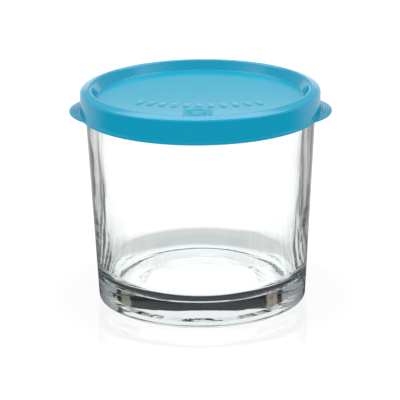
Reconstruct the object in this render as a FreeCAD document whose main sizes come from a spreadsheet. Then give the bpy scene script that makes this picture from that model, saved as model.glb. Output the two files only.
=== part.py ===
"""Round storage jar of thick pressed glass with a push-on plastic lid.

Millimetres, +Z up. The origin is the middle of the foot, on the table. The jar is a
turned shape about the Z axis, and the lid's two lifting tabs point along +X and -X.
The lid's plug cone sits on the rounded mouth of the jar, and a small ridge inside its
skirt snaps under the bead round the rim.
"""
import FreeCAD, Part
import math
import os

import Sketcher

SIZES = [
    # the jar
    ("jar_height", 92.4, "rim of the glass above the table"),
    ("rim_radius", 50.4, "outside of the glass at the rim"),
    ("foot_radius", 45.7, "outside of the glass at the table, before its edge is rounded"),
    ("rim_wall", 3.8, "thickness of the glass at the rim"),
    ("floor_wall", 6.3, "thickness of the wall where it meets the inner floor"),
    ("floor_height", 9.5, "inner floor above the table"),
    ("floor_round", 9.0, "inner corner between floor and wall"),
    ("foot_round", 2.2, "outer corner under the foot"),
    ("rim_round", 1.7, "both corners of the rim"),
    ("recess_radius", 29.0, "edge of the shallow recess under the foot"),
    ("recess_depth", 0.8, "depth of that recess"),
    ("recess_slope", 4.0, "width of the sloping edge of that recess"),
    ("bead_height", 0.4, "crest of the rim bead beyond the rim radius"),
    ("bead_width", 2.4, "rim bead, from bottom to top"),
    ("bead_drop", 3.4, "middle of the rim bead below the rim"),
    # how the lid fits
    ("seat_gap", 0.25, "between the plug cone and the rounded mouth"),
    ("skirt_gap", 0.2, "between the rim bead and the skirt"),
    ("snap_gap", 0.25, "round the snap ridge, to the glass and to the bead"),
    # the lid
    ("lid_wall", 1.2, "thickness of the plastic"),
    ("plug_angle", 56.0, "slope of the plug cone, in degrees from level"),
    ("crown_rise", 3.25, "sharp corner of the crown above the rim"),
    ("crown_round", 1.5, "rounding of the crown"),
    ("panel_drop", 4.5, "panel below the sharp corner of the crown"),
    ("panel_round", 0.6, "corner between panel and plug cone"),
    ("shoulder_drop", 1.55, "fall of the top band from crown to skirt"),
    ("shoulder_round", 1.2, "rounding at the top of the skirt"),
    ("skirt_reach", 8.6, "bottom of the skirt below the rim"),
    ("lip_width", 0.45, "lip beyond the skirt"),
    ("lip_height", 0.8, "upright edge of the lip"),
    ("lip_flare", 0.7, "height of the slope from lip to skirt"),
    ("ridge_width", 1.8, "snap ridge, from bottom to top"),
    # the lifting tabs
    ("tab_reach", 5.0, "tip of a tab beyond the skirt"),
    ("tab_rise", 0.5, "underside of a tab above the bottom of the skirt"),
    ("tab_thickness", 0.75, "thickness of a tab"),
    ("tab_curve", 28.0, "radius of the outer edge of a tab"),
    ("tab_blend", 10.0, "radius where a tab runs into the lip"),
    ("grip_start", 0.9, "first grip line beyond the lip"),
    ("grip_width", 0.5, "one grip line on a tab"),
    ("grip_pitch", 1.1, "from one grip line to the next"),
    ("grip_length", 15.0, "length of the longest grip line"),
    ("grip_height", 0.15, "grip lines above the tab"),
    # the raised marks on the panel
    ("mark_height", 0.3, "marks above the panel"),
    ("mark_arc", 68.0, "radius of the arc that the marks stand on"),
    ("mark_place", 16.5, "lowest point of that arc in front of the axis"),
    ("mark_span", 44.0, "angle from first mark to last, in degrees"),
    ("mark_count", 11, "how many marks"),
    ("mark_width", 2.8, "width of one mark"),
    ("mark_length", 7.2, "length of one mark"),
    ("badge_place", 27.0, "middle of the badge in front of the axis"),
    ("badge_width", 12.6, "badge, across"),
    ("badge_depth", 12.2, "badge, front to back"),
    ("badge_round", 1.6, "corners of the badge"),
    ("badge_dimple", 3.4, "radius of the round dimple in the badge"),
]

GRIP_LINES = 3
TOUCH = 1e-4
ORIGIN = FreeCAD.Vector(0, 0, 0)
UP = FreeCAD.Vector(0, 0, 1)
H_AXIS, V_AXIS = -1, -2
START, END, CENTRE = 1, 2, 3


# Heights and radii that follow from the sizes, as formulas for the document ---------

def glass_outside(height):
    """Formula for the outer radius of the glass at a height."""
    slope = "(Sizes.rim_radius - Sizes.foot_radius) / Sizes.jar_height"
    return f"(Sizes.foot_radius + ({height}) * {slope})"


RIM_ROUND = "min(Sizes.rim_round; 0.45 * Sizes.rim_wall)"
RIM_INSIDE = "(Sizes.rim_radius - Sizes.rim_wall)"
FLOOR_RADIUS = f"({glass_outside('Sizes.floor_height')} - Sizes.floor_wall)"
INNER_SLOPE = f"(({RIM_INSIDE} - {FLOOR_RADIUS}) / (Sizes.jar_height - Sizes.floor_height))"
BEAD_MIDDLE = "(Sizes.jar_height - Sizes.bead_drop)"
BEAD_BOTTOM = f"({BEAD_MIDDLE} - Sizes.bead_width / 2)"
BEAD_RADIUS = "(Sizes.rim_radius + Sizes.bead_height)"

SKIRT_INSIDE = f"({BEAD_RADIUS} + Sizes.skirt_gap)"
SKIRT_MIDDLE = f"({SKIRT_INSIDE} + Sizes.lid_wall / 2)"
SKIRT_OUTSIDE = f"({SKIRT_INSIDE} + Sizes.lid_wall)"
SKIRT_BOTTOM = "(Sizes.jar_height - Sizes.skirt_reach)"
LIP_RADIUS = f"({SKIRT_OUTSIDE} + Sizes.lip_width)"
CROWN_HEIGHT = "(Sizes.jar_height + Sizes.crown_rise)"
SHOULDER_HEIGHT = f"({CROWN_HEIGHT} - Sizes.shoulder_drop)"
PANEL_HEIGHT = f"({CROWN_HEIGHT} - Sizes.panel_drop)"
RIDGE_TOP = f"({BEAD_BOTTOM} - Sizes.snap_gap)"
RIDGE_MIDDLE = f"({RIDGE_TOP} - Sizes.ridge_width / 2)"


def plug_cone(height, wall):
    """Formula for the radius of the plug cone at a height, one wall off its underside or none.

    The underside keeps the seat gap from the rounded inner corner of the rim.
    """
    middle = f"({RIM_INSIDE} + {RIM_ROUND} * (sqrt(1 + {INNER_SLOPE}^2) - {INNER_SLOPE}))"
    rise = f"({height} - Sizes.jar_height + {RIM_ROUND})"
    angle = "(Sizes.plug_angle * 1 deg)"
    off = f"({RIM_ROUND} + Sizes.seat_gap + {wall})"
    return f"({middle} + ({rise} * cos{angle} - {off}) / sin{angle})"


CROWN_RADIUS = plug_cone(CROWN_HEIGHT, "Sizes.lid_wall")
PANEL_RADIUS = plug_cone(PANEL_HEIGHT, "Sizes.lid_wall")
PANEL_UNDER = f"({PANEL_HEIGHT} - Sizes.lid_wall)"
PANEL_UNDER_RADIUS = plug_cone(PANEL_UNDER, "0")
TAB_MIDDLE = f"({SKIRT_OUTSIDE} + Sizes.tab_reach - Sizes.tab_curve)"
TAB_UNDER = f"({SKIRT_BOTTOM} + Sizes.tab_rise)"
MARK_MIDDLE = "(Sizes.mark_arc - Sizes.mark_place)"


# The document and its sheet of sizes -----------------------------------------------

doc = FreeCAD.newDocument("storage_jar")
sheet = doc.addObject("Spreadsheet::Sheet", "Sizes")
for row, (alias, number, meaning) in enumerate(SIZES, 1):
    sheet.set(f"A{row}", alias)
    sheet.set(f"B{row}", str(number))
    sheet.set(f"C{row}", meaning)
    sheet.setAlias(f"B{row}", alias)
work = doc.addObject("Spreadsheet::Sheet", "Work")
doc.recompute()


def value(formula):
    """What a formula comes to with the present sizes, worked out in a sheet of its own."""
    work.set("A1", f"={formula}")
    work.recompute()
    result = work.get("A1")
    return float(getattr(result, "Value", result))


# Sketches --------------------------------------------------------------------------

def new_body(name):
    body = doc.addObject("PartDesign::Body", name)
    body.Label = name
    return body


def new_sketch(body, name, plane, height=None):
    """A sketch on one of the body's own origin planes, raised to a height if one is given."""
    sketch = body.newObject("Sketcher::SketchObject", name)
    face = next(item for item in body.Origin.OriginFeatures if item.Role == plane)
    sketch.AttachmentSupport = [(face, "")]
    sketch.MapMode = "FlatFace"
    if height is not None:
        sketch.setExpression("AttachmentOffset.Base.z", height)
    return sketch


def dimension(sketch, kind, *target_and_formula):
    """A dimension of a sketch that follows a formula."""
    *target, formula = target_and_formula
    index = sketch.addConstraint(Sketcher.Constraint(kind, *target, value(formula)))
    sketch.setExpression(f"Constraints[{index}]", formula)


class Near(str):
    """A formula that a point only starts near, because other constraints place it."""


def fix_point(sketch, line, end, across, up):
    """Hold a point at two coordinates, each a formula, and "0" is on the axis itself."""
    for kind, axis, formula in (("DistanceX", V_AXIS, across), ("DistanceY", H_AXIS, up)):
        if formula == "0":
            sketch.addConstraint(Sketcher.Constraint("PointOnObject", line, end, axis))
        elif not isinstance(formula, Near):
            dimension(sketch, kind, line, end, formula)


def point(across, up):
    return FreeCAD.Vector(value(across), value(up), 0)


def closed_outline(sketch, corners):
    """Straight lines from corner to corner, each corner held at its two formulas."""
    places = [point(*corner) for corner in corners]
    count = len(corners)
    first = sketch.GeometryCount
    for index in range(count):
        sketch.addGeometry(Part.LineSegment(places[index], places[(index + 1) % count]))
    for index in range(count):
        following = first + (index + 1) % count
        sketch.addConstraint(
            Sketcher.Constraint("Coincident", first + index, END, following, START)
        )
    for index, corner in enumerate(corners):
        fix_point(sketch, first + index, START, *corner)


def wall_behind(sketch, line, behind):
    """Hold a line parallel to another, one lid wall away."""
    sketch.addConstraint(Sketcher.Constraint("Parallel", line, behind))
    dimension(sketch, "Distance", line, START, behind, "Sizes.lid_wall")


# Features --------------------------------------------------------------------------

def turned(body, sketch, name):
    """Turn a sketch right round the Z axis and add it to the body."""
    feature = body.newObject("PartDesign::Revolution", name)
    feature.Profile = sketch
    feature.ReferenceAxis = (sketch, ["V_Axis"])
    feature.Angle = 360
    doc.recompute()
    return feature


def raised(body, sketch, name, height):
    """Add a sketch's outline to the body, up to a height above the sketch."""
    feature = body.newObject("PartDesign::Pad", name)
    feature.Profile = sketch
    feature.setExpression("Length", height)
    doc.recompute()
    return feature


def rounded(body, name, rings, radius):
    """Round the circular edges that run about the Z axis at (radius, height) formulas."""
    base = body.Tip
    edges = [ring_edge(base.Shape, value(across), value(up)) for across, up in rings]
    feature = body.newObject("PartDesign::Fillet", name)
    feature.Base = (base, edges)
    feature.setExpression("Radius", radius)
    doc.recompute()
    return feature


def ring_edge(shape, radius, height):
    for number, edge in enumerate(shape.Edges, 1):
        curve = edge.Curve
        if curve.TypeId != "Part::GeomCircle" or edge.Length < math.tau * radius - TOUCH:
            continue
        if abs(curve.Radius - radius) < TOUCH and abs(curve.Center.z - height) < TOUCH:
            return f"Edge{number}"
    raise RuntimeError(f"no edge of radius {radius:.3f} at height {height:.3f}")


def repeated(body, originals, name, sketch_axis, count, angle=None):
    """Copies of some features about an axis, over an angle or evenly right round."""
    feature = body.newObject("PartDesign::PolarPattern", name)
    feature.Originals = originals
    feature.Axis = sketch_axis
    if angle is None:
        feature.Angle = 360
    else:
        feature.setExpression("Angle", angle)
    feature.setExpression("Occurrences", count)
    body.Tip = feature
    doc.recompute()
    return feature


# The glass jar ---------------------------------------------------------------------

def make_jar():
    body = new_body("glass_jar")
    section = new_sketch(body, "JarSection", "XZ_Plane")
    closed_outline(section, [
        ("0", "Sizes.recess_depth"),
        ("Sizes.recess_radius - Sizes.recess_slope", "Sizes.recess_depth"),
        ("Sizes.recess_radius", "0"),
        ("Sizes.foot_radius", "0"),
        ("Sizes.rim_radius", "Sizes.jar_height"),
        (RIM_INSIDE, "Sizes.jar_height"),
        (FLOOR_RADIUS, "Sizes.floor_height"),
        ("0", "Sizes.floor_height"),
    ])
    turned(body, section, "JarWall")
    rounded(body, "FloorCorner", [(FLOOR_RADIUS, "Sizes.floor_height")], "Sizes.floor_round")
    rounded(body, "FootCorner", [("Sizes.foot_radius", "0")], "Sizes.foot_round")
    rim_edges = [("Sizes.rim_radius", "Sizes.jar_height"), (RIM_INSIDE, "Sizes.jar_height")]
    rounded(body, "RimCorners", rim_edges, RIM_ROUND)

    bead = new_sketch(body, "BeadSection", "XZ_Plane")
    bead_top = f"({BEAD_MIDDLE} + Sizes.bead_width / 2)"
    crest_bottom = f"({BEAD_MIDDLE} - Sizes.bead_width / 6)"
    crest_top = f"({BEAD_MIDDLE} + Sizes.bead_width / 6)"
    root = "(Sizes.rim_radius - Sizes.rim_wall / 2)"
    closed_outline(bead, [
        (root, BEAD_BOTTOM),
        (glass_outside(BEAD_BOTTOM), BEAD_BOTTOM),
        (BEAD_RADIUS, crest_bottom),
        (BEAD_RADIUS, crest_top),
        (glass_outside(bead_top), bead_top),
        (root, bead_top),
    ])
    turned(body, bead, "RimBead")
    crest = [(BEAD_RADIUS, crest_bottom), (BEAD_RADIUS, crest_top)]
    rounded(body, "BeadCrest", crest, "Sizes.bead_width / 4")
    return body


# The lid ---------------------------------------------------------------------------

def make_lid():
    body = new_body("lid")
    make_shell(body)
    make_tabs(body)
    make_marks(body)
    make_badge(body)
    return body


def make_shell(body):
    """Panel, plug cone, crown, top band, skirt and lip, all one wall thick."""
    section = new_sketch(body, "LidSection", "XZ_Plane")
    flare_top = f"({SKIRT_BOTTOM} + Sizes.lip_height + Sizes.lip_flare)"
    lip_top = f"({SKIRT_BOTTOM} + Sizes.lip_height)"
    plug, band, band_under, plug_under = 2, 3, 9, 10
    closed_outline(section, [
        ("0", PANEL_UNDER),
        ("0", PANEL_HEIGHT),
        (PANEL_RADIUS, PANEL_HEIGHT),
        (CROWN_RADIUS, CROWN_HEIGHT),
        (SKIRT_OUTSIDE, SHOULDER_HEIGHT),
        (SKIRT_OUTSIDE, flare_top),
        (LIP_RADIUS, lip_top),
        (LIP_RADIUS, SKIRT_BOTTOM),
        (SKIRT_INSIDE, SKIRT_BOTTOM),
        (SKIRT_INSIDE, Near(f"{SHOULDER_HEIGHT} - Sizes.lid_wall")),
        (Near(f"{CROWN_RADIUS} + Sizes.lid_wall / 3"), Near(f"{CROWN_HEIGHT} - 1.5 * Sizes.lid_wall")),
        (Near(PANEL_UNDER_RADIUS), PANEL_UNDER),
    ])
    wall_behind(section, band_under, band)
    wall_behind(section, plug_under, plug)
    turned(body, section, "LidShell")
    rounded(body, "Crown", [(CROWN_RADIUS, CROWN_HEIGHT)], "Sizes.crown_round")
    rounded(body, "Shoulder", [(SKIRT_OUTSIDE, SHOULDER_HEIGHT)], "Sizes.shoulder_round")
    rounded(body, "PanelCorner", [(PANEL_RADIUS, PANEL_HEIGHT)], "Sizes.panel_round")
    under_corner = [(PANEL_UNDER_RADIUS, PANEL_UNDER)]
    rounded(body, "PanelUnderCorner", under_corner, "Sizes.panel_round + Sizes.lid_wall")

    ridge = new_sketch(body, "RidgeSection", "XZ_Plane")
    crest = f"({glass_outside(RIDGE_MIDDLE)} + Sizes.snap_gap)"
    ridge_bottom = f"({RIDGE_TOP} - Sizes.ridge_width)"
    crest_bottom = f"({RIDGE_MIDDLE} - Sizes.ridge_width / 6)"
    crest_top = f"({RIDGE_MIDDLE} + Sizes.ridge_width / 6)"
    closed_outline(ridge, [
        (SKIRT_MIDDLE, ridge_bottom),
        (SKIRT_MIDDLE, RIDGE_TOP),
        (SKIRT_INSIDE, RIDGE_TOP),
        (crest, crest_top),
        (crest, crest_bottom),
        (SKIRT_INSIDE, ridge_bottom),
    ])
    turned(body, ridge, "SnapRidge")


def make_tabs(body):
    """Two thin ears on the lip, each with grip lines on top."""
    outline = new_sketch(body, "TabOutline", "XY_Plane", TAB_UNDER)
    draw_tab(outline)
    tab = raised(body, outline, "Tab", "Sizes.tab_thickness")

    lines = new_sketch(body, "GripOutline", "XY_Plane", f"({TAB_UNDER} + Sizes.tab_thickness / 2)")
    for index in range(GRIP_LINES):
        middle = f"({LIP_RADIUS} + Sizes.grip_start + {index} * Sizes.grip_pitch)"
        reach = f"(Sizes.grip_length / 2 - {index} * Sizes.grip_pitch)"
        near = f"({middle} - Sizes.grip_width / 2)"
        far = f"({middle} + Sizes.grip_width / 2)"
        closed_outline(lines, [(near, f"-{reach}"), (far, f"-{reach}"), (far, reach), (near, reach)])
    grips = raised(body, lines, "GripLines", "Sizes.tab_thickness / 2 + Sizes.grip_height")
    repeated(body, [tab, grips], "BothTabs", (outline, ["N_Axis"]), "2")


def draw_tab(sketch):
    """Outer arc, a blend into the lip at each end, and an arc buried in the skirt."""
    lip, blend = value(LIP_RADIUS), value("Sizes.tab_blend")
    curve, middle = value("Sizes.tab_curve"), value(TAB_MIDDLE)
    buried = value(SKIRT_MIDDLE)
    # the blend's centre lies one blend outside both the outer arc and the lip
    to_tab, to_lip = curve + blend, lip + blend
    across = (to_lip**2 - to_tab**2 + middle**2) / (2 * middle)
    side = math.sqrt(to_lip**2 - across**2)
    at_tab = math.atan2(side, across - middle)
    at_lip = math.atan2(side, across)

    circle = Part.Circle(FreeCAD.Vector(middle, 0, 0), UP, curve)
    outer = sketch.addGeometry(Part.ArcOfCircle(circle, -at_tab, at_tab))
    circle = Part.Circle(FreeCAD.Vector(across, side, 0), UP, blend)
    upper = sketch.addGeometry(Part.ArcOfCircle(circle, at_lip - math.pi, at_tab - math.pi))
    circle = Part.Circle(FreeCAD.Vector(across, -side, 0), UP, blend)
    lower = sketch.addGeometry(Part.ArcOfCircle(circle, math.pi - at_tab, math.pi - at_lip))
    circle = Part.Circle(ORIGIN, UP, buried)
    inner = sketch.addGeometry(Part.ArcOfCircle(circle, -at_lip, at_lip))
    ring = sketch.addGeometry(Part.Circle(ORIGIN, UP, lip), True)
    ray = FreeCAD.Vector(math.cos(at_lip), math.sin(at_lip), 0)
    mirrored_ray = FreeCAD.Vector(ray.x, -ray.y, 0)
    upper_end = sketch.addGeometry(Part.LineSegment(ray * lip, ray * buried))
    lower_end = sketch.addGeometry(Part.LineSegment(mirrored_ray * lip, mirrored_ray * buried))

    fix_point(sketch, outer, CENTRE, TAB_MIDDLE, "0")
    dimension(sketch, "Radius", outer, "Sizes.tab_curve")
    for centred, radius in ((inner, SKIRT_MIDDLE), (ring, LIP_RADIUS)):
        sketch.addConstraint(Sketcher.Constraint("Coincident", centred, CENTRE, H_AXIS, START))
        dimension(sketch, "Radius", centred, radius)
    joints = [
        # outer arc's end, blend's end there, blend, blend's other end, short line, inner arc's end
        (END, END, upper, START, upper_end, END),
        (START, START, lower, END, lower_end, START),
    ]
    for outer_end, near, arc, far, short, inner_end in joints:
        sketch.addConstraint(Sketcher.Constraint("Tangent", outer, outer_end, arc, near))
        sketch.addConstraint(Sketcher.Constraint("Tangent", arc, far, ring))
        dimension(sketch, "Radius", arc, "Sizes.tab_blend")
        sketch.addConstraint(Sketcher.Constraint("Coincident", arc, far, short, START))
        sketch.addConstraint(Sketcher.Constraint("Coincident", short, END, inner, inner_end))
        sketch.addConstraint(Sketcher.Constraint("PointOnObject", H_AXIS, START, short))


def make_marks(body):
    """A row of plain rounded marks on a gentle arc across the front of the panel."""
    outline = new_sketch(body, "MarkOutline", "XY_Plane", PANEL_HEIGHT)
    outline.setExpression("AttachmentOffset.Base.y", MARK_MIDDLE)
    outline.setExpression("AttachmentOffset.Rotation.Angle", "-Sizes.mark_span / 2 * 1 deg")
    end_radius = "Sizes.mark_width / 2"
    straight = "(Sizes.mark_length / 2 - Sizes.mark_width / 2)"
    near = f"(-Sizes.mark_arc + {straight})"
    far = f"(-Sizes.mark_arc - {straight})"
    half = value(end_radius)
    for place, begin, finish in ((near, 0, math.pi), (far, math.pi, math.tau)):
        circle = Part.Circle(point("0", place), UP, half)
        arc = outline.addGeometry(Part.ArcOfCircle(circle, begin, finish))
        fix_point(outline, arc, CENTRE, "0", place)
    near_arc, far_arc = 0, 1
    sides = []
    for across in (-half, half):
        ends = [FreeCAD.Vector(across, value(place), 0) for place in (near, far)]
        sides.append(outline.addGeometry(Part.LineSegment(*ends)))
    left, right = sides
    for line, near_end, far_end in ((left, END, START), (right, START, END)):
        outline.addConstraint(Sketcher.Constraint("Tangent", line, START, near_arc, near_end))
        outline.addConstraint(Sketcher.Constraint("Tangent", line, END, far_arc, far_end))
    dimension(outline, "Radius", near_arc, end_radius)
    mark = raised(body, outline, "Mark", "Sizes.mark_height")
    repeated(
        body, [mark], "MarkRow", (outline, ["N_Axis"]),
        "Sizes.mark_count", "Sizes.mark_span * 1 deg",
    )


def make_badge(body):
    """A plain raised rectangle with a round dimple, in front of the marks."""
    outline = new_sketch(body, "BadgeOutline", "XY_Plane", PANEL_HEIGHT)
    outline.setExpression("AttachmentOffset.Base.y", "-Sizes.badge_place")
    side, front = "(Sizes.badge_width / 2)", "(Sizes.badge_depth / 2)"
    closed_outline(outline, [
        (f"-{side}", f"-{front}"),
        (side, f"-{front}"),
        (side, front),
        (f"-{side}", front),
    ])
    badge = raised(body, outline, "Badge", "Sizes.mark_height")
    upright = [
        f"Edge{number}"
        for number, edge in enumerate(badge.Shape.Edges, 1)
        if is_upright_at(edge, value(side), value(front))
    ]
    corners = body.newObject("PartDesign::Fillet", "BadgeCorners")
    corners.Base = (badge, upright)
    corners.setExpression("Radius", "Sizes.badge_round")
    doc.recompute()

    dimple = new_sketch(body, "DimpleOutline", "XY_Plane", PANEL_HEIGHT)
    dimple.setExpression("AttachmentOffset.Base.y", "-Sizes.badge_place")
    ring = dimple.addGeometry(Part.Circle(ORIGIN, UP, value("Sizes.badge_dimple")))
    dimple.addConstraint(Sketcher.Constraint("Coincident", ring, CENTRE, H_AXIS, START))
    dimension(dimple, "Radius", ring, "Sizes.badge_dimple")
    pocket = body.newObject("PartDesign::Pocket", "BadgeDimple")
    pocket.Profile = dimple
    pocket.Reversed = True
    pocket.setExpression("Length", "Sizes.mark_height")
    doc.recompute()


def is_upright_at(edge, side, front):
    """True for a short upright edge at a corner of the badge."""
    begin, finish = edge.firstVertex().Point, edge.lastVertex().Point
    if abs(begin.x - finish.x) > TOUCH or abs(begin.y - finish.y) > TOUCH:
        return False
    at_side = abs(abs(begin.x) - side) < TOUCH
    at_front = abs(abs(begin.y + value("Sizes.badge_place")) - front) < TOUCH
    return at_side and at_front


# Checks and files ------------------------------------------------------------------

def check(bodies):
    """Every feature worked, each added or cut something, and each body is one sound solid."""
    for item in doc.Objects:
        if "Invalid" in item.State or "Error" in item.State:
            raise RuntimeError(f"{item.Label} failed: {item.State}")
    for body in bodies:
        steps = [item for item in body.Group if item.isDerivedFrom("PartDesign::Feature")]
        for before, after in zip(steps, steps[1:]):
            if abs(after.Shape.Volume - before.Shape.Volume) < TOUCH:
                raise RuntimeError(f"{after.Label} changes nothing")
        shape = body.Shape
        if shape.isNull() or not shape.isValid() or len(shape.Solids) != 1:
            raise RuntimeError(f"{body.Label} is not one valid solid")


def main():
    bodies = [make_jar(), make_lid()]
    doc.recompute()
    check(bodies)
    overlap = bodies[0].Shape.common(bodies[1].Shape).Volume
    if overlap > TOUCH:
        raise RuntimeError(f"lid and jar overlap by {overlap:.3f} mm3")
    os.makedirs("parts", exist_ok=True)
    for body in bodies:
        body.Shape.exportStep(f"parts/{body.Label}.step")
        box = body.Shape.optimalBoundingBox(False)
        print(
            f"{body.Label}: {body.Shape.Volume / 1000:.2f} cm3,",
            f"x {box.XMin:.2f}..{box.XMax:.2f}, y {box.YMin:.2f}..{box.YMax:.2f},",
            f"z {box.ZMin:.2f}..{box.ZMax:.2f}",
        )


main()
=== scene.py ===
import math

import bmesh
import bpy
from bpy.props import FloatProperty, FloatVectorProperty, IntProperty, PointerProperty
from mathutils import Matrix, Vector


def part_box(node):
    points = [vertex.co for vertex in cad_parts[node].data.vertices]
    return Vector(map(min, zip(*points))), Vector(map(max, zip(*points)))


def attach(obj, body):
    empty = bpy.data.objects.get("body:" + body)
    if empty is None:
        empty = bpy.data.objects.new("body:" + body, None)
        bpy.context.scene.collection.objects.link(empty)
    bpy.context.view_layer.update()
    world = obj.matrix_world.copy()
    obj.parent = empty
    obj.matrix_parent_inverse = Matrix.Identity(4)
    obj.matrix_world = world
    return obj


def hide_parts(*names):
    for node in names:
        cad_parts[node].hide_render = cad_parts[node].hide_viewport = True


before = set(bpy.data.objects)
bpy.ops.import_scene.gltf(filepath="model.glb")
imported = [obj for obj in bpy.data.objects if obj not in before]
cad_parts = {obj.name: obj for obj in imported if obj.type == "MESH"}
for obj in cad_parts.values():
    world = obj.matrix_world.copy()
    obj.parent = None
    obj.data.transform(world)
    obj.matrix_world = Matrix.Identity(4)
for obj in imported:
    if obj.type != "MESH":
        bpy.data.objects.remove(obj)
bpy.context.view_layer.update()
_, JAR_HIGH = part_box("glass_jar")
LID_LOW, LID_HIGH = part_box("lid")

bl_info = {
    "name": "Glass storage jar with push-on lid",
    "version": (1, 0, 0),
    "blender": (4, 5, 0),
    "location": "View3D > Sidebar > Storage jar",
    "description": "Presses the glass jar, moulds its lid and sets the pale studio round them",
    "category": "Object",
}

MM = 0.001
TINY = 1e-6
FULL_TURN = 2 * math.pi
SUNK = 0.1 * MM          # how far a raised mark reaches into what it stands on
GLASS, PLASTIC = "clear_pressed_glass", "turquoise_lid_plastic"


# Sizes and colours -------------------------------------------------------------------

def length(name, description, default):
    """A length in metres that a user may change."""
    return FloatProperty(name=name, description=description, default=default, min=0.0, unit="LENGTH")


def colour(name, description, default):
    """A linear colour that a user may change."""
    return FloatVectorProperty(
        name=name, description=description, default=default, size=3, min=0.0, max=1.0, subtype="COLOR"
    )


class JarSizes(bpy.types.PropertyGroup):
    """The turned section of the pressed glass."""

    height: length("Height", "Rim of the glass above the table", JAR_HIGH.z)
    bead: length("Rim bead", "Crest of the bead beyond the rim", 0.4 * MM)
    bead_width: length("Bead width", "Bead, from bottom to top", 2.4 * MM)
    bead_drop: length("Bead drop", "Middle of the bead below the rim", 3.4 * MM)
    taper: length("Taper", "How much narrower the glass is at the foot", 4.7 * MM)
    rim_wall: length("Rim wall", "Thickness of the glass at the rim", 3.8 * MM)
    floor_wall: length("Floor wall", "Thickness of the wall at the inner floor", 6.3 * MM)
    floor_height: length("Inner floor", "Inner floor above the table", 9.5 * MM)
    floor_round: length("Inner corner", "Rounding between inner floor and wall", 9.0 * MM)
    foot_round: length("Foot corner", "Rounding under the foot", 2.2 * MM)
    rim_round: length("Rim corner", "Rounding of the rim", 1.7 * MM)
    recess: length("Recess", "Radius of the shallow recess under the foot", 29.0 * MM)
    recess_depth: length("Recess depth", "Depth of that recess", 0.8 * MM)
    recess_slope: length("Recess slope", "Width of its sloping edge", 4.0 * MM)
    recess_round: length("Recess rounding", "Rounding at the top of that edge", 1.5 * MM)
    ring_round: length("Foot ring rounding", "Rounding at the inside of the foot ring", 1.2 * MM)
    bead_round: length("Bead rounding", "Rounding of the bead's crest", 0.8 * MM)
    bead_blend: length("Bead blend", "Rounding where the bead leaves the wall", 0.6 * MM)
    turns: IntProperty(name="Turned faces", description="Faces round the glass", default=288, min=64)


class LidSizes(bpy.types.PropertyGroup):
    """The turned section of the lid and its two lifting tabs."""

    skirt: length("Skirt", "Outside of the skirt", 52.2 * MM)
    wall: length("Wall", "Thickness of the plastic", 1.2 * MM)
    crown: length("Crown", "Radius of the crown's sharp corner", 47.71 * MM)
    crown_round: length("Crown rounding", "Rounding of the crown", 1.5 * MM)
    crown_rise: length("Crown rise", "Crown's sharp corner above the rim of the glass", 3.25 * MM)
    shoulder_drop: length("Shoulder drop", "Fall of the top band from crown to skirt", 1.55 * MM)
    shoulder_round: length("Shoulder rounding", "Rounding at the top of the skirt", 1.2 * MM)
    panel: length("Panel", "Radius of the sunk panel", 44.67 * MM)
    panel_drop: length("Panel drop", "Panel below the crown's sharp corner", 4.5 * MM)
    panel_round: length("Panel corner", "Corner between panel and plug cone", 0.6 * MM)
    lip_height: length("Lip", "Upright edge of the lip", 0.8 * MM)
    lip_flare: length("Lip flare", "Slope from lip to skirt", 0.7 * MM)
    lip_blend: length("Lip blend", "Rounding where the lip meets the skirt", 0.8 * MM)
    lip_top: length("Lip top", "Rounding at the top of the lip", 0.3 * MM)
    lip_foot: length("Lip foot", "Rounding under the lip", 0.25 * MM)
    mouth_round: length("Mouth", "Rounding inside the bottom of the skirt", 0.35 * MM)
    inner_round: length("Inner corners", "Rounding inside the skirt and the crown", 0.4 * MM)
    under_round: length("Under the panel", "Rounding between plug cone and underside", 0.9 * MM)
    tab_curve: length("Tab curve", "Radius of a tab's outer edge", 28.0 * MM)
    tab_blend: length("Tab blend", "Radius where a tab runs into the lip", 10.0 * MM)
    tab_rise: length("Tab rise", "Underside of a tab above the bottom of the skirt", 0.5 * MM)
    tab_thickness: length("Tab thickness", "Thickness of a tab", 0.75 * MM)
    tab_edge: length("Tab edge", "Softening of a tab's edges", 0.22 * MM)
    ridge_height: length("Snap ridge", "Middle of the snap ridge above the bottom of the skirt", 2.85 * MM)
    ridge_half: length("Ridge half width", "Half the width of the snap ridge", 0.9 * MM)
    ridge_reach: length("Ridge reach", "How far the snap ridge stands in", 0.6 * MM)
    ridge_round: length("Ridge rounding", "Rounding of the snap ridge's crest", 0.4 * MM)
    ridge_blend: length("Ridge blend", "Rounding where the snap ridge leaves the skirt", 0.3 * MM)
    grip_inset: length("Grip inset", "Innermost grip line from the tip of the tab", 3.65 * MM)
    grip_pitch: length("Grip pitch", "From one grip line to the next, which is as much shorter", 1.1 * MM)
    grip_half: length("Grip half length", "Half the length of the innermost grip line", 7.5 * MM)
    grip_width: length("Grip width", "Width of a grip line", 0.5 * MM)
    grip_height: length("Grip height", "Grip lines above the tab", 0.15 * MM)
    grips: IntProperty(name="Grip lines", description="Grip lines on each tab", default=3, min=1)
    turns: IntProperty(name="Turned faces", description="Faces round the lid", default=256, min=64)


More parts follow.
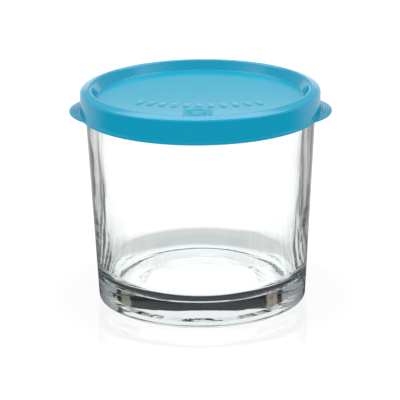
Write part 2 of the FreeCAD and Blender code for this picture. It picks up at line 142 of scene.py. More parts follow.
class MarkSizes(bpy.types.PropertyGroup):
    """The raised marks and the badge on the lid's panel."""

    height: length("Height", "Marks and badge above the panel", 0.2 * MM)
    edge: length("Mark edge", "Softening of a mark's top edge", 0.2 * MM)
    arc: length("Arc", "Radius of the arc that the marks stand on", 68.0 * MM)
    place: length("Place", "Lowest point of that arc in front of the axis", 16.5 * MM)
    span: FloatProperty(
        name="Span", description="Angle from first mark to last",
        default=math.radians(44), subtype="ANGLE",
    )
    count: IntProperty(name="Count", description="How many marks", default=11, min=2)
    width: length("Width", "Width of one mark", 2.8 * MM)
    reach: length("Reach", "Length of one mark", 7.2 * MM)
    badge_place: length("Badge place", "Middle of the badge in front of the axis", 27.0 * MM)
    badge_width: length("Badge width", "Badge, across", 12.6 * MM)
    badge_depth: length("Badge depth", "Badge, front to back", 12.2 * MM)
    badge_round: length("Badge corner", "Corners of the badge", 1.6 * MM)
    badge_edge: length("Badge edge", "Softening of the badge's top edge", 0.12 * MM)
    dimple: length("Dimple", "Radius of the round dimple in the badge", 3.4 * MM)
    dimple_floor: length("Dimple floor", "Bottom of the dimple above the panel", 0.08 * MM)


class Finishes(bpy.types.PropertyGroup):
    """Colours of the glass, the plastic and the studio."""

    glass_depth: colour("Glass depth", "Tint of the glass where it is thick", (0.78, 0.90, 0.87))
    plastic: colour("Plastic", "Turquoise of the lid", (0.000, 0.280, 0.445))
    # Pale turquoise for rubbed spots and random tone, and also for painted light: the whole sunk panel is
    # mixed well towards it, as if lit from above.
    plastic_lit_and_rubbed: colour("Pale plastic", "Where the plastic is thin or rubbed", (0.012, 0.360, 0.520))
    floor: colour("Floor", "Pale floor", (0.72, 0.72, 0.72))


# Node trees --------------------------------------------------------------------------

class Wire:
    """An output socket; arithmetic on it adds Math nodes."""

    def __init__(self, tree, socket):
        self.tree, self.socket = tree, socket

    def maths(self, operation, *values):
        """A Math node on some values, or on this one alone."""
        node = self.tree.nodes.new("ShaderNodeMath")
        node.operation = operation
        for socket, value in zip(node.inputs, values or (self,)):
            plug(self.tree, socket, value)
        return Wire(self.tree, node.outputs[0])

    def __add__(self, other):
        return self.maths("ADD", self, other)

    def __sub__(self, other):
        return self.maths("SUBTRACT", self, other)

    def __rsub__(self, other):
        return self.maths("SUBTRACT", other, self)

    def __mul__(self, other):
        return self.maths("MULTIPLY", self, other)

    def __pow__(self, other):
        return self.maths("POWER", self, other)

    __radd__ = __add__
    __rmul__ = __mul__

    def least(self, other):
        return self.maths("MINIMUM", self, other)

    def most(self, other):
        return self.maths("MAXIMUM", self, other)

    def over(self, limit):
        """1 above a limit and 0 below it."""
        return self.maths("GREATER_THAN", self, limit)

    def step(self, start, end):
        """0 below start and 1 above end, smoothly."""
        node = self.tree.nodes.new("ShaderNodeMapRange")
        node.interpolation_type = "SMOOTHSTEP"
        for name, value in (("Value", self), ("From Min", start), ("From Max", end)):
            plug(self.tree, node.inputs[name], value)
        return Wire(self.tree, node.outputs["Result"])


def plug(tree, socket, value):
    """Links a wire to a socket, or sets the socket's own value."""
    if isinstance(value, Wire):
        tree.links.new(value.socket, socket)
    else:
        socket.default_value = value


class Tree:
    """The node tree of a material or of the world, written from nothing."""

    def __init__(self, owner, output):
        owner.use_nodes = True
        self.tree = owner.node_tree
        self.tree.nodes.clear()
        self.end = self.tree.nodes.new(output)

    def node(self, kind, settings=None, inputs=None, out=0):
        """Adds a node, sets its settings and then its sockets, and gives one of its outputs."""
        node = self.tree.nodes.new(kind)
        for name, value in (settings or {}).items():
            if name == "stops":
                ramp = node.color_ramp.elements
                for place, shade in value[2:]:
                    ramp.new(place)
                for element, (place, shade) in zip(ramp, value):
                    element.position, element.color = place, (*shade, 1.0)
            else:
                setattr(node, name, value)
        for name, value in (inputs or {}).items():
            plug(self.tree, node.inputs[name], value)
        return Wire(self.tree, node.outputs[out])

    def mix(self, factor, first, second):
        """A colour between two colours."""
        node = self.tree.nodes.new("ShaderNodeMix")
        node.data_type = "RGBA"
        sides = {"A": first, "B": second}
        plug(self.tree, node.inputs[0], factor)
        for socket in node.inputs:
            if socket.type == "RGBA":
                value = sides[socket.name]
                plug(self.tree, socket, value if isinstance(value, Wire) else (*value, 1.0))
        shown = next(socket for socket in node.outputs if socket.type == "RGBA")
        return Wire(self.tree, shown)

    def grey(self, value):
        """A value as a colour."""
        return self.node("ShaderNodeCombineXYZ", None, {"X": value, "Y": value, "Z": value})

    def noise(self, coordinates, scale, detail=2.0, rough=0.5):
        """Noise from 0 to 1 with a scale in waves per metre."""
        return self.node(
            "ShaderNodeTexNoise", {"noise_dimensions": "3D"},
            {"Vector": coordinates, "Scale": scale, "Detail": detail, "Roughness": rough},
        )

    def parts(self, vector, axes):
        """A vector's coordinates along some of its axes."""
        return [self.node("ShaderNodeSeparateXYZ", None, {"Vector": vector}, out=axis) for axis in axes]

    def place(self, stretch=(1.0, 1.0, 1.0)):
        """Object coordinates, stretched along the axes."""
        spot = self.node("ShaderNodeTexCoord", out="Object")
        return self.node("ShaderNodeMapping", {"vector_type": "POINT"}, {"Vector": spot, "Scale": stretch})

    def finish(self, **sockets):
        """Plugs shaders into the output node."""
        for name, wire in sockets.items():
            plug(self.tree, self.end.inputs[name], wire)


def from_axis(across, ahead):
    """Distance from the upright axis."""
    return (across * across + ahead * ahead) ** 0.5


def material(name):
    """A new material and its tree."""
    made = bpy.data.materials.new(name)
    return made, Tree(made, "ShaderNodeOutputMaterial")


def clear_glass(finishes):
    """Pressed glass: clear, a little wavy, faintly green in its depth."""
    made, tree = material(GLASS)
    spot = tree.place()
    waves = tree.noise(spot, 45.0, 1.0, 0.4)
    grain = tree.noise(spot, 600.0, 2.0)
    draws = tree.noise(tree.place((320.0, 320.0, 14.0)), 1.0, 2.0)
    wave_bump = tree.node(
        "ShaderNodeBump", None, {"Strength": 0.3, "Distance": 1.0 * MM, "Height": waves + draws * 0.05}
    )
    handling = tree.noise(spot, 120.0, 3.0).step(0.60, 0.82)
    shader = tree.node(
        "ShaderNodeBsdfPrincipled", {"distribution": "MULTI_GGX"},
        {
            "Base Color": (1.0, 1.0, 1.0, 1.0), "Roughness": handling * grain * 0.02,
            "IOR": 1.5, "Transmission Weight": 1.0, "Normal": wave_bump,
        },
    )
    depth = tree.node(
        "ShaderNodeVolumeAbsorption", None, {"Color": (*finishes.glass_depth, 1.0), "Density": 5.0}
    )
    tree.finish(Surface=shader, Volume=depth)
    return made


# Painted light: the sunk panel inside these radii is painted paler, as light from above makes it look.
PANEL_EDGE = (43.6 * MM, 45.0 * MM)      # radii between which the pale panel ends


def lid_plastic(finishes):
    """Satin turquoise plastic with a fine moulded grain and light rubbing, and a sunk panel painted paler as
    painted light from above.
    """
    made, tree = material(PLASTIC)
    spot = tree.place()
    cloud = tree.noise(spot, 28.0, 3.0)
    grain = tree.noise(spot, 1400.0, 2.0)
    scuffs = tree.noise(tree.place((90.0, 900.0, 300.0)), 1.0, 2.0).step(0.62, 0.74)
    # Painted light: the sunk panel is painted paler in place of light from above and its sheen; cloud and
    # scuffs are the plastic's own tone and wear.
    painted_light = 1 - from_axis(*tree.parts(spot, "XY")).step(*PANEL_EDGE)
    pale = painted_light * 0.62 + cloud * 0.16 + scuffs * 0.06
    shade = tree.mix(pale, tuple(finishes.plastic), tuple(finishes.plastic_lit_and_rubbed))
    bump = tree.node(
        "ShaderNodeBump", None,
        {"Strength": 0.12, "Distance": 0.06 * MM, "Height": grain * 0.7 + cloud * 0.5},
    )
    shader = tree.node(
        "ShaderNodeBsdfPrincipled", None,
        {
            "Base Color": shade, "Roughness": 0.12 + cloud * 0.05 + scuffs * 0.06,
            "IOR": 1.46, "Normal": bump,
        },
    )
    tree.finish(Surface=shader)
    return made


# Shaping -----------------------------------------------------------------------------

def start_mesh(add, **where):
    """Adds a primitive with nothing else selected, and opens it for editing."""
    if bpy.context.object and bpy.context.object.mode != "OBJECT":
        bpy.ops.object.mode_set(mode="OBJECT")
    bpy.ops.object.select_all(action="DESELECT")
    add(**where)
    bpy.ops.object.mode_set(mode="EDIT")
    bpy.ops.mesh.select_mode(type="VERT")
    return bpy.context.object


def pick(piece, kind, test):
    """Selects the vertices, edges or faces that pass a test, and nothing else."""
    bpy.ops.mesh.select_mode(type={"verts": "VERT", "edges": "EDGE", "faces": "FACE"}[kind])
    bpy.ops.mesh.select_all(action="DESELECT")
    mesh = bmesh.from_edit_mesh(piece.data)
    chosen = [element for element in getattr(mesh, kind) if test(element)]
    if not chosen:
        raise RuntimeError(f"nothing to select on {piece.name}")
    for element in chosen:
        element.select_set(True)
    mesh.select_flush_mode()
    bmesh.update_edit_mesh(piece.data)


def at_place(spot):
    """A test for the vertex at a place."""
    return lambda vertex: (vertex.co - Vector(spot)).length < 2 * TINY


def first_vertex(spot):
    """Starts a mesh as one vertex at a place."""
    piece = start_mesh(bpy.ops.mesh.primitive_plane_add, size=MM)
    bpy.ops.mesh.select_all(action="SELECT")
    bpy.ops.mesh.merge(type="CENTER")
    bpy.ops.transform.translate(value=spot)
    return piece


def draw_line(spots):
    """Extrudes the selected vertex from place to place."""
    for last, spot in zip(spots, spots[1:]):
        step = Vector(spot) - Vector(last)
        bpy.ops.mesh.extrude_region_move(TRANSFORM_OT_translate={"value": step})


def turned(name, corners, turns):
    """Spins a section round the Z axis. Its corners are (radius, height, cut, segments)."""
    spots = [(radius, 0.0, height) for radius, height, *_ in corners]
    piece = first_vertex(spots[0])
    draw_line(spots)
    for radius, height, cut, segments in corners:
        if cut:
            pick(piece, "verts", at_place((radius, 0.0, height)))
            bpy.ops.mesh.bevel(
                offset=cut, offset_type="OFFSET", segments=segments, profile=0.5, affect="VERTICES"
            )
    bpy.ops.mesh.select_all(action="SELECT")
    bpy.ops.mesh.spin(
        steps=turns, angle=FULL_TURN, center=(0.0, 0.0, 0.0), axis=(0.0, 0.0, 1.0), dupli=False
    )
    bpy.ops.mesh.select_all(action="SELECT")
    bpy.ops.mesh.remove_doubles(threshold=TINY)
    bpy.ops.mesh.normals_make_consistent(inside=False)
    return close_piece(piece, name)


def rounding_for(before, corner, after, radius):
    """How far along its two sides a corner is cut to round it to a radius."""
    one = (Vector(before) - Vector(corner)).normalized()
    two = (Vector(after) - Vector(corner)).normalized()
    return radius / math.tan(one.angle(two) / 2)


def section(corners):
    """Turns (radius, height, round radius, segments) into (radius, height, cut, segments)."""
    made = []
    for index, (radius, height, rounding, segments) in enumerate(corners):
        cut = 0.0
        if rounding:
            before, after = corners[index - 1], corners[(index + 1) % len(corners)]
            cut = rounding_for(before[:2], (radius, height), after[:2], rounding)
        made.append((radius, height, cut, segments))
    return made


def close_piece(piece, name):
    """Leaves edit mode, names the piece and smooths all but its sharp edges."""
    bpy.ops.object.mode_set(mode="OBJECT")
    piece.name = piece.data.name = name
    bpy.ops.object.transform_apply(location=True, rotation=True, scale=True)
    bpy.ops.object.shade_smooth_by_angle(angle=math.radians(30))
    return piece


def own_copy(piece, name, turn):
    """A copy with its own mesh, moved by a matrix."""
    bpy.ops.object.select_all(action="DESELECT")
    piece.select_set(True)
    bpy.context.view_layer.objects.active = piece
    bpy.ops.object.duplicate(linked=False)
    made = bpy.context.object
    made.name = made.data.name = name
    made.matrix_world = turn
    bpy.ops.object.transform_apply(location=True, rotation=True, scale=True)
    return made


def dress(piece, finish):
    """Gives a piece its material and its body."""
    piece.data.materials.clear()
    piece.data.materials.append(finish)
    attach(piece, "root")
    return piece


def finish_named(name, make):
    """A material made once and shared."""
    return bpy.data.materials.get(name) or make(bpy.context.scene.jar_finishes)


# The glass ---------------------------------------------------------------------------

class JAR_OT_glass(bpy.types.Operator):
    """Presses the thick-walled glass jar"""

    bl_idname = "jar.glass"
    bl_label = "Glass jar"

    def execute(self, context):
        sizes = context.scene.jar_sizes
        rim = JAR_HIGH.x - sizes.bead
        foot = rim - sizes.taper

        def outside(height):
            return foot + sizes.taper * height / sizes.height

        bead = sizes.height - sizes.bead_drop
        half = sizes.bead_width / 2
        corners = [
            (0.0, sizes.recess_depth, 0.0, 0),
            (sizes.recess - sizes.recess_slope, sizes.recess_depth, sizes.recess_round, 6),
            (sizes.recess, 0.0, sizes.ring_round, 6),
            (foot, 0.0, sizes.foot_round, 14),
            (outside(bead - half), bead - half, sizes.bead_blend, 4),
            (rim + sizes.bead, bead, sizes.bead_round, 6),
            (outside(bead + half), bead + half, sizes.bead_blend, 4),
            (rim, sizes.height, sizes.rim_round, 10),
            (rim - sizes.rim_wall, sizes.height, sizes.rim_round, 10),
            (outside(sizes.floor_height) - sizes.floor_wall, sizes.floor_height, sizes.floor_round, 20),
            (0.0, sizes.floor_height, 0.0, 0),
        ]
        piece = turned("jar_glass", section(corners), sizes.turns)
        dress(piece, finish_named(GLASS, clear_glass))
        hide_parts("glass_jar")
        return {"FINISHED"}


# The lid -----------------------------------------------------------------------------

def shifted(start, end, distance):
    """A line moved to its right side by a distance, as a point and a direction."""
    run = (Vector(end) - Vector(start)).normalized()
    side = Vector((run.y, -run.x))
    return Vector(start) + side * distance, run


def crossing(first, second):
    """Where two lines cross."""
    (spot, run), (other, way) = first, second
    across = run.x * way.y - run.y * way.x
    along = ((other.x - spot.x) * way.y - (other.y - spot.y) * way.x) / across
    return spot + run * along


class JAR_OT_lid(bpy.types.Operator):
    """Moulds the turned shell of the lid"""

    bl_idname = "jar.lid"
    bl_label = "Lid shell"

    def execute(self, context):
        sizes = context.scene.lid_sizes
        rim = JAR_HIGH.z
        crown = (sizes.crown, rim + sizes.crown_rise)
        shoulder = (sizes.skirt, crown[1] - sizes.shoulder_drop)
        panel = (sizes.panel, crown[1] - sizes.panel_drop)
        lip = LID_HIGH.y
        foot = LID_LOW.z
        inside = sizes.skirt - sizes.wall
        under = panel[1] - sizes.wall
        cone = shifted(panel, crown, sizes.wall)
        band = shifted(crown, shoulder, sizes.wall)
        low = (Vector((0.0, under)), Vector((1.0, 0.0)))
        bore = (Vector((inside, 0.0)), Vector((0.0, 1.0)))
        ridge = foot + sizes.ridge_height
        corners = [
            (0.0, panel[1], 0.0, 0),
            (*panel, sizes.panel_round, 6),
            (*crown, sizes.crown_round, 14),
            (*shoulder, sizes.shoulder_round, 12),
            (sizes.skirt, foot + sizes.lip_height + sizes.lip_flare, sizes.lip_blend, 5),
            (lip, foot + sizes.lip_height, sizes.lip_top, 4),
            (lip, foot, sizes.lip_foot, 4),
            (inside, foot, sizes.mouth_round, 4),
            (inside, ridge - sizes.ridge_half, sizes.ridge_blend, 2),
            (inside - sizes.ridge_reach, ridge, sizes.ridge_round, 4),
            (inside, ridge + sizes.ridge_half, sizes.ridge_blend, 2),
            (*crossing(band, bore), sizes.inner_round, 4),
            (*crossing(cone, band), sizes.inner_round, 4),
            (*crossing(cone, low), sizes.under_round, 6),
            (0.0, under, 0.0, 0),
        ]
        piece = turned("lid_shell", section(corners), sizes.turns)
        dress(piece, finish_named(PLASTIC, lid_plastic))
        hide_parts("lid")
        return {"FINISHED"}


def sweep(middle, start, end, steps):
    """Spins the selected vertex round an upright axis, from one direction to another."""
    turn = (end - start + math.pi) % FULL_TURN - math.pi
    bpy.ops.mesh.spin(steps=steps, angle=-turn, center=middle, axis=(0.0, 0.0, 1.0), dupli=False)


def raised_bar(name, middle, size, corner, top_round, low, height):
    """A flat bar with rounded corners and a softened top edge."""
    piece = start_mesh(
        bpy.ops.mesh.primitive_cube_add, size=1.0,
        location=(*middle, low + height / 2), scale=(*size, height),
    )
    bpy.ops.object.mode_set(mode="OBJECT")
    bpy.ops.object.transform_apply(location=True, rotation=True, scale=True)
    bpy.ops.object.mode_set(mode="EDIT")
    pick(piece, "edges", lambda e: abs(e.verts[0].co.z - e.verts[1].co.z) > height / 2)
    bpy.ops.mesh.bevel(offset=corner, offset_type="OFFSET", segments=8, profile=0.5, affect="EDGES")
    pick(piece, "edges", lambda e: min(v.co.z for v in e.verts) > low + height - TINY)
    bpy.ops.mesh.bevel(offset=top_round, offset_type="OFFSET", segments=3, profile=0.5, affect="EDGES")
    return close_piece(piece, name)


class JAR_OT_tabs(bpy.types.Operator):
    """Moulds the two lifting tabs and their grip lines"""

    bl_idname = "jar.tabs"
    bl_label = "Lifting tabs"

    def execute(self, context):
        sizes = context.scene.lid_sizes
        lip, tip = LID_HIGH.y, LID_HIGH.x
        inner = sizes.skirt - 0.5 * sizes.wall
        low = LID_LOW.z + sizes.tab_rise
        # The tip is an arc round (axis, 0). An arc round (across, up) on each side runs into the lip.
        axis = tip - sizes.tab_curve
        reach, span = lip + sizes.tab_blend, sizes.tab_curve + sizes.tab_blend
        across = (reach ** 2 - span ** 2 + axis ** 2) / (2 * axis)
        up = math.sqrt(reach ** 2 - across ** 2)
        blend = Vector((across, up))
        on_tab = Vector((axis, 0.0)) + (blend - Vector((axis, 0.0))) * sizes.tab_curve / span
        on_lip = blend * lip / reach
        edge = math.atan2(on_tab.y, on_tab.x - axis)
        root = math.atan2(on_lip.y, on_lip.x)
        start = math.atan2(on_tab.y - up, on_tab.x - across)
        end = math.atan2(on_lip.y - up, on_lip.x - across)

        piece = first_vertex((on_lip.x, -on_lip.y, low))
        sweep((across, -up, low), -end, -start, 8)
        sweep((axis, 0.0, low), -edge, edge, 40)
        sweep((across, up, low), start, end, 8)
        draw_line([(*on_lip, low), (inner * math.cos(root), inner * math.sin(root), low)])
        sweep((0.0, 0.0, low), root, -root, 32)
        bpy.ops.mesh.select_all(action="SELECT")
        bpy.ops.mesh.remove_doubles(threshold=TINY)
        bpy.ops.mesh.select_all(action="SELECT")
        bpy.ops.mesh.edge_face_add()
        bpy.ops.mesh.extrude_region_move(
            TRANSFORM_OT_translate={"value": (0.0, 0.0, sizes.tab_thickness)}
        )
        top = low + sizes.tab_thickness
        bpy.ops.mesh.select_all(action="SELECT")
        bpy.ops.mesh.normals_make_consistent(inside=False)

        def free_edge(mesh_edge):
            ends = [v.co for v in mesh_edge.verts]
            level = abs(ends[0].z - ends[1].z) < TINY
            return level and all(end.xy.length > inner + 0.1 * MM for end in ends)

        pick(piece, "edges", free_edge)
        bpy.ops.mesh.bevel(
            offset=sizes.tab_edge, offset_type="OFFSET", segments=4, profile=0.5, affect="EDGES"
        )
        tab = close_piece(piece, "lid_tab_right")
        grips = []
        for line in range(sizes.grips):
            out = line * sizes.grip_pitch
            grip = raised_bar(
                f"grip_{line}", (tip - sizes.grip_inset + out, 0.0),
                (sizes.grip_width, 2 * (sizes.grip_half - out)),
                0.48 * sizes.grip_width, 0.1 * MM, top - SUNK, sizes.grip_height + SUNK,
            )
            grips.append(grip)
        bpy.ops.object.select_all(action="DESELECT")
        for part in (tab, *grips):
            part.select_set(True)
        context.view_layer.objects.active = tab
        bpy.ops.object.join()
        other = own_copy(tab, "lid_tab_left", Matrix.Rotation(math.pi, 4, "Z"))
        plastic = finish_named(PLASTIC, lid_plastic)
        for part in (tab, other):
            dress(part, plastic)
            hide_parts("lid")
        return {"FINISHED"}


class JAR_OT_marks(bpy.types.Operator):
    """Raises the plain marks and the badge on the lid's panel"""

    bl_idname = "jar.marks"
    bl_label = "Raised marks"

    def execute(self, context):
        sizes, lid = context.scene.mark_sizes, context.scene.lid_sizes
        panel = JAR_HIGH.z + lid.crown_rise - lid.panel_drop
        low, height = panel - SUNK, sizes.height + SUNK
        middle = sizes.arc - sizes.place
        plastic = finish_named(PLASTIC, lid_plastic)
        first = raised_bar(
            "mark_pattern", (0.0, -sizes.arc), (sizes.width, sizes.reach),
            0.49 * sizes.width, sizes.edge, low, height,
        )
        marks = []
        for index in range(sizes.count):
            turn = sizes.span * (index / (sizes.count - 1) - 0.5)
            place = Matrix.Translation((0.0, middle, 0.0)) @ Matrix.Rotation(turn, 4, "Z")
            marks.append(own_copy(first, f"lid_mark_{index + 1:02d}", place))
        bpy.data.objects.remove(first)
        badge = raised_bar(
            "lid_badge", (0.0, -sizes.badge_place), (sizes.badge_width, sizes.badge_depth),
            sizes.badge_round, sizes.badge_edge, low, height,
        )
        tall = 4 * MM
        cutter = start_mesh(
            bpy.ops.mesh.primitive_cylinder_add, vertices=48, radius=sizes.dimple, depth=tall,
            location=(0.0, -sizes.badge_place, panel + sizes.dimple_floor + tall / 2),
        )
        close_piece(cutter, "badge_cutter")
        cut = badge.modifiers.new("dimple", "BOOLEAN")
        cut.operation, cut.object, cut.solver = "DIFFERENCE", cutter, "EXACT"
        context.view_layer.objects.active = badge
        bpy.ops.object.modifier_apply(modifier=cut.name)
        bpy.data.objects.remove(cutter)
        for part in (*marks, badge):
            dress(part, plastic)
            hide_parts("lid")
        return {"FINISHED"}


# The studio --------------------------------------------------------------------------

# Ranges over which a shade starts or ends: radii on the floor in metres.
# Painted shadow: the floor under the glass's foot ring is painted near black.
FOOT_RING = (26 * MM, 30 * MM), (46 * MM, 52 * MM)
# Painted shadow: the floor just behind the jar is painted grey where it is seen through more than one wall.
BEHIND_JAR = (45 * MM, 50 * MM), (74 * MM, 94 * MM)
# Painted shade: the floor beside the jar, between these radii, is painted in dark and grey bands.
FLOOR_SHADE_BANDS = (105 * MM, 130 * MM), (280 * MM, 420 * MM)
MIRROR_FADE = (55 * MM, 95 * MM)

# Ranges of the upward part of a direction in the studio.
LOW_DARK, HIGH_WHITE = (0.13, 0.17), (0.37, 0.47)
OVERHEAD_STRIP = (0.62, 0.74), (0.88, 0.95)
HORIZON = (0.17, 0.235)

# Brightness from level to overhead, and of what the outer surfaces mirror.
SKY_LEVEL, SKY_RISE = 0.56, 1.38
SHEEN_LEVEL, SHEEN_DROP, STRIP_LEVEL = 1.1, 0.62, 2.6
FRONT_DIMMING, AGAIN_DIMMING = 0.97, 0.7
GLOW_SHARE = 0.95
MIRROR_NEAR, MIRROR_FAR, MIRROR_MOTTLE = 0.22, 0.06, 0.03

# The second white is the white between painted shade bands on the floor.
WHITE, BAND_WHITE = (1.0, 1.0, 1.0), (0.98, 0.98, 0.98)
WHITE_THROUGH_GLASS = (1.16, 1.16, 1.16)
WHITE_FLOOR = (1.17, 1.17, 1.17)
# Colours of the painted shade bands, on the floor and then low in the studio.
SHADE_BLACK, SHADE_OLIVE, SHADE_GREY = (0.03, 0.03, 0.035), (0.24, 0.22, 0.17), (0.34, 0.35, 0.37)
STUDIO_SHADOW, STUDIO_BLACK, STUDIO_GREY = (0.022, 0.022, 0.028), (0.02, 0.02, 0.024), (0.35, 0.36, 0.38)

# Painted shade that light turned back in the glass finds, in bands on the floor and low in the studio, as
# (place along the bearing, colour); no cards stand there, and the bands draw the dark lines in the glass's
# edges.
LEFT_FLOOR_SHADE = (
    (0.0, (0.20, 0.21, 0.21)), (0.31, (0.20, 0.21, 0.21)), (0.37, (0.88, 0.88, 0.88)),
    (0.54, (0.84, 0.84, 0.84)), (0.60, (0.55, 0.56, 0.56)), (0.66, (0.12, 0.13, 0.13)),
    (0.74, (0.20, 0.21, 0.21)), (0.79, BAND_WHITE), (1.0, BAND_WHITE),
)
RIGHT_FLOOR_SHADE = (
    (0.0, (0.45, 0.46, 0.46)), (0.36, (0.40, 0.41, 0.41)), (0.42, (0.26, 0.27, 0.27)),
    (0.47, (0.62, 0.63, 0.63)), (0.51, (0.62, 0.63, 0.63)), (0.55, (0.18, 0.19, 0.19)),
    (0.68, (0.26, 0.27, 0.27)), (0.73, (0.66, 0.68, 0.68)), (1.0, (0.72, 0.74, 0.74)),
)
NEAR_FLOOR_SHADE = (
    (0.0, BAND_WHITE), (0.29, BAND_WHITE), (0.33, SHADE_BLACK), (0.36, SHADE_OLIVE), (0.42, SHADE_OLIVE),
    (0.44, SHADE_BLACK), (0.47, SHADE_BLACK), (0.49, SHADE_GREY), (1.0, SHADE_GREY),
)
# Painted shade low in the studio, seen only by light turned back in the glass.
WALL_SHADE = (
    (0.0, STUDIO_SHADOW), (0.63, STUDIO_SHADOW), (0.65, STUDIO_BLACK), (0.69, STUDIO_BLACK),
    (0.72, STUDIO_GREY), (1.0, STUDIO_GREY),
)


def rays(tree):
    """Masks for the ways that light meets the studio.

    They are: seen by the camera, straight through the glass, off an outer surface, turned back
    inside the glass's own walls, and through more than one wall.
    """
    def path(name):
        return tree.node("ShaderNodeLightPath", out=name)

    crossed = path("Transmission Depth")
    far = crossed.over(3.5)
    walled = path("Glossy Depth").over(0.5) * crossed.over(0.5) * (1 - far)
    clear = path("Is Transmission Ray") * (1 - walled)
    sheen = path("Is Glossy Ray") * (1 - crossed.over(0.5))
    return path("Is Camera Ray"), clear, sheen, walled, far


def between(value, start, end):
    """1 between two ranges and 0 outside them."""
    return value.step(*start) * (1 - value.step(*end))


def bearing(across, ahead, widest):
    """Angle from the back of the studio, 0 to 1 up to the widest angle and back again."""
    angle = across.maths("ARCTAN2", across, ahead).maths("ABSOLUTE")
    return angle.maths("PINGPONG", angle, math.radians(widest)) * (1 / math.radians(widest))


def bands(tree, where, stops):
    """Colours in soft bands along a value from 0 to 1."""
    return tree.node("ShaderNodeValToRGB", {"stops": stops}, {"Fac": where}, out="Color")


def painted_floor_shade(tree, across, ahead, reach):
    """The floor as light turned back in the glass finds it: painted shade in dark and grey bands and streaks
    beside the jar, and a painted shadow, near black, under its foot.
    """
    turned_to = bearing(across, ahead, 90.0)
    # Painted shade: the floor is painted in dark and grey bands by bearing and distance, with dark streaks,
    # seen only by light turned back in the glass.
    edge = tree.mix(
        across.step(-30 * MM, 30 * MM),
        bands(tree, turned_to, LEFT_FLOOR_SHADE), bands(tree, turned_to, RIGHT_FLOOR_SHADE),
    )
    where = tree.node(
        "ShaderNodeCombineXYZ", None, {"X": turned_to * 24.0, "Y": reach * 14.0, "Z": across * 6.0}
    )
    lines = tree.noise(where, 1.0, 2.0).step(0.44, 0.56)
    streaks = tree.mix(lines, (0.17, 0.18, 0.17), (0.90, 0.92, 0.91))
    near = tree.mix(turned_to.step(0.50, 0.55), bands(tree, turned_to, NEAR_FLOOR_SHADE), streaks)
    edge = tree.mix(turned_to.step(0.50, 0.60) * 0.35, edge, streaks)
    edge = tree.mix(between(reach, *FLOOR_SHADE_BANDS), near, edge)
    # Painted shadow: near black on the floor under the glass's foot.
    return tree.mix(between(reach, *FOOT_RING), edge, (0.06, 0.06, 0.065))


def floor_finish(finishes):
    """White floor with a mirror image that fades: dim in the edges of the glass and in the lid's sheen, with
    a painted shadow under the jar's foot and another behind the jar, which only light through the glass
    finds.
    """
    made, tree = material("pale_floor")
    seen, clear, sheen, walled, far = rays(tree)
    spot = tree.node("ShaderNodeTexCoord", out="Object")
    across, ahead = tree.parts(spot, "XY")
    reach = from_axis(across, ahead)
    mottle = tree.noise(spot, 22.0, 3.0)

    # Painted shadow: a grey ring on the floor behind the jar, seen through more than one wall of glass.
    through = tree.mix(between(reach, *BEHIND_JAR) * far, WHITE_THROUGH_GLASS, (0.64, 0.68, 0.67))
    front = (0 - ahead).step(-0.19, 0.02)
    off = tree.mix(front, (0.75, 0.76, 0.77), (0.02, 0.02, 0.02))
    shade = tree.mix(clear, WHITE_FLOOR, through)
    shade = tree.mix(sheen, shade, off)
    shade = tree.mix(walled, shade, painted_floor_shade(tree, across, ahead, reach))

    lit = tree.node("ShaderNodeBsdfDiffuse", None, {"Color": (*finishes.floor, 1.0)})
    glow = tree.node("ShaderNodeEmission", None, {"Color": shade, "Strength": 1.0})
    share = seen * GLOW_SHARE + clear * GLOW_SHARE + sheen + walled
    base = tree.node("ShaderNodeMixShader", None, {0: share.least(1.0), 1: lit, 2: glow})
    gloss = tree.node("ShaderNodeBsdfGlossy", None, {"Roughness": 0.035})
    fade = (MIRROR_NEAR - MIRROR_FAR) * reach.step(*MIRROR_FADE)
    mirror = seen * (MIRROR_NEAR - fade + MIRROR_MOTTLE * mottle)
    tree.finish(Surface=tree.node("ShaderNodeMixShader", None, {0: mirror, 1: base, 2: gloss}))
    return made


def painted_wall_shade(tree, way, across, ahead, up):
    """The studio as light turned back in the glass finds it: painted shade, dark, patched and grey low down,
    that draws the edges of the glass.
    """
    turned_to = bearing(across, ahead, 60.0)
    aside = turned_to.step(0.40, 0.47)
    patch = tree.mix(across.over(0.0), (0.33, 0.27, 0.21), (0.24, 0.23, 0.17))
    patched = between(turned_to, (0.50, 0.53), (0.62, 0.65)) * tree.noise(way, 9.0, 4.0, 0.7).step(0.25, 0.45)
    # Painted shade: dark and brownish patches low in the studio, for light turned back in the glass.
    low = tree.mix(patched, bands(tree, turned_to, WALL_SHADE), patch)
    low = tree.mix(up.step(*LOW_DARK).most(aside), (0.95, 0.95, 0.95), low)
    return tree.mix(up.step(*HIGH_WHITE) * (1 - 0.8 * aside), low, (0.90, 0.91, 0.91))


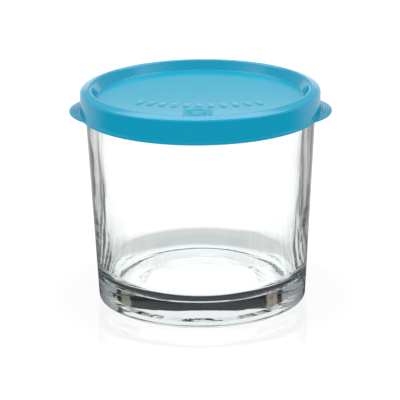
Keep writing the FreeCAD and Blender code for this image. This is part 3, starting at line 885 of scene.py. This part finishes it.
def light_the_world(scene):
    """A white studio, brighter above, with painted shade low down that only light turned back in the glass
    finds, and that draws the edges of the glass.
    """
    world = bpy.data.worlds.new("studio")
    scene.world = world
    world.cycles.sampling_method = "NONE"
    scene.cycles.max_bounces = scene.cycles.glossy_bounces = scene.cycles.transmission_bounces = 28
    tree = Tree(world, "ShaderNodeOutputWorld")
    seen, clear, sheen, walled, _ = rays(tree)
    way = tree.node("ShaderNodeTexCoord", out="Generated")
    across, ahead, up = tree.parts(way, "XYZ")

    soft = SKY_LEVEL + up.most(0.0) * SKY_RISE
    front = (0 - ahead).step(-0.2, 0.6)
    again = tree.node("ShaderNodeLightPath", out="Glossy Depth").over(1.5)
    off = SHEEN_LEVEL - SHEEN_DROP * up.step(*HORIZON) + STRIP_LEVEL * between(up, *OVERHEAD_STRIP)
    off = off * (1 - FRONT_DIMMING * front) * (1 - AGAIN_DIMMING * again)
    shade = tree.mix(seen.most(clear), tree.grey(soft), WHITE)
    shade = tree.mix(clear, shade, WHITE_THROUGH_GLASS)
    shade = tree.mix(sheen, shade, tree.grey(off))
    shade = tree.mix(walled, shade, painted_wall_shade(tree, way, across, ahead, up))
    tree.finish(Surface=tree.node("ShaderNodeBackground", None, {"Color": shade, "Strength": 1.0}))


# The camera: its place and aim in metres before it turns round the jar, and its lens.
CAMERA_EYE, CAMERA_AIM = (-0.000594, -0.9643, 0.3489), (-0.000594, 0.0, 0.04361)
CAMERA_TURN, CAMERA_ROLL = math.radians(2.5), -0.010686
SENSOR_WIDTH = 36.0
LENS = 5.7395 * SENSOR_WIDTH
FLOOR_SIZE, FLOOR_DROP = 12.0, 0.05 * MM


class JAR_OT_stage(bpy.types.Operator):
    """Lays the floor, lights the studio and places the camera"""

    bl_idname = "jar.stage"
    bl_label = "Studio"

    def execute(self, context):
        scene = context.scene
        floor = start_mesh(
            bpy.ops.mesh.primitive_plane_add, size=FLOOR_SIZE, location=(0.0, 0.0, -FLOOR_DROP)
        )
        bpy.ops.mesh.subdivide(number_cuts=3)
        close_piece(floor, "studio_floor")
        floor.data.materials.append(floor_finish(scene.jar_finishes))
        light_the_world(scene)

        turn = Matrix.Rotation(CAMERA_TURN, 4, "Z")
        eye, aim = turn @ Vector(CAMERA_EYE), turn @ Vector(CAMERA_AIM)
        camera = bpy.data.cameras.new("studio_camera")
        camera.sensor_width, camera.lens = SENSOR_WIDTH, LENS
        camera.clip_start, camera.clip_end = 0.05, 30.0
        view = bpy.data.objects.new("studio_camera", camera)
        scene.collection.objects.link(view)
        view.rotation_mode = "QUATERNION"
        roll = Matrix.Rotation(CAMERA_ROLL, 4, "Z").to_quaternion()
        view.rotation_quaternion = (aim - eye).to_track_quat("-Z", "Y") @ roll
        view.location = eye
        scene.camera = view
        scene.view_settings.view_transform = "Standard"
        return {"FINISHED"}


# The add-on --------------------------------------------------------------------------

STEPS = (JAR_OT_glass, JAR_OT_lid, JAR_OT_tabs, JAR_OT_marks, JAR_OT_stage)
GROUPS = {
    "jar_sizes": JarSizes, "lid_sizes": LidSizes, "mark_sizes": MarkSizes, "jar_finishes": Finishes,
}


class JAR_PT_panel(bpy.types.Panel):
    """Sizes, colours and the steps that make the jar"""

    bl_idname = "JAR_PT_panel"
    bl_label = "Storage jar"
    bl_space_type = "VIEW_3D"
    bl_region_type = "UI"
    bl_category = "Storage jar"

    def draw(self, context):
        for group in GROUPS:
            settings = getattr(context.scene, group)
            box = self.layout.box()
            for name in settings.bl_rna.properties.keys():
                if name not in ("rna_type", "name"):
                    box.prop(settings, name)
        for step in STEPS:
            self.layout.operator(step.bl_idname)


def register():
    for made in (*GROUPS.values(), *STEPS, JAR_PT_panel):
        bpy.utils.register_class(made)
    for name, group in GROUPS.items():
        setattr(bpy.types.Scene, name, PointerProperty(type=group))


def unregister():
    for name in GROUPS:
        delattr(bpy.types.Scene, name)
    for made in (JAR_PT_panel, *reversed(STEPS), *GROUPS.values()):
        bpy.utils.unregister_class(made)


def main():
    register()
    for step in STEPS:
        group, name = step.bl_idname.split(".")
        getattr(getattr(bpy.ops, group), name)()


if __name__ == "__main__":
    main()
